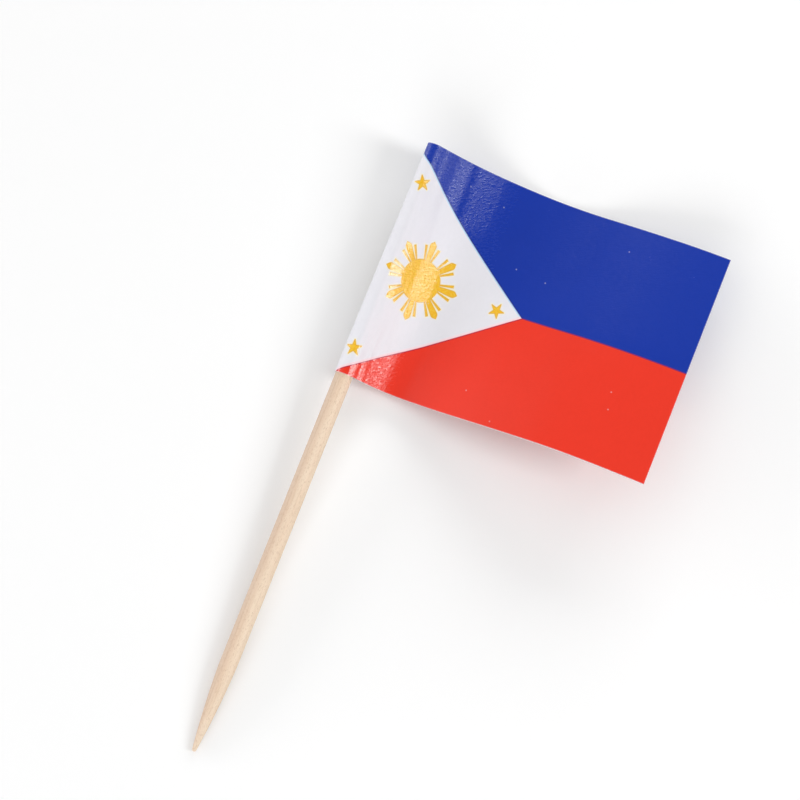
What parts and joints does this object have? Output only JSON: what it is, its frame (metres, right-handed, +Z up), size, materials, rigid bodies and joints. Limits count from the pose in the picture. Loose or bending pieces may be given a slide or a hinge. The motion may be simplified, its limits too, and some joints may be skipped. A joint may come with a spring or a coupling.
{
  "type": "flag toothpick",
  "caption": "Small paper flag glued round the upper half of a pointed round wooden pick, to mark or dress food, a cake or a party tray.",
  "frame": {"origin": "middle of the bounding box, on the surface that the flag lies on", "axes": "+Z up from that surface, +Y along the pick from its point to the flag, within 4 degrees, +X from the pick to the flag's free edge"},
  "size_m": [0.0328, 0.0652, 0.0081],
  "materials": {
    "pick_wood": "matte",
    "printed_paper": "satin"
  },
  "bodies": {
    "root": {"toothpick": "pick_wood", "paper_flag": "printed_paper"}
  },
  "joints": []
}
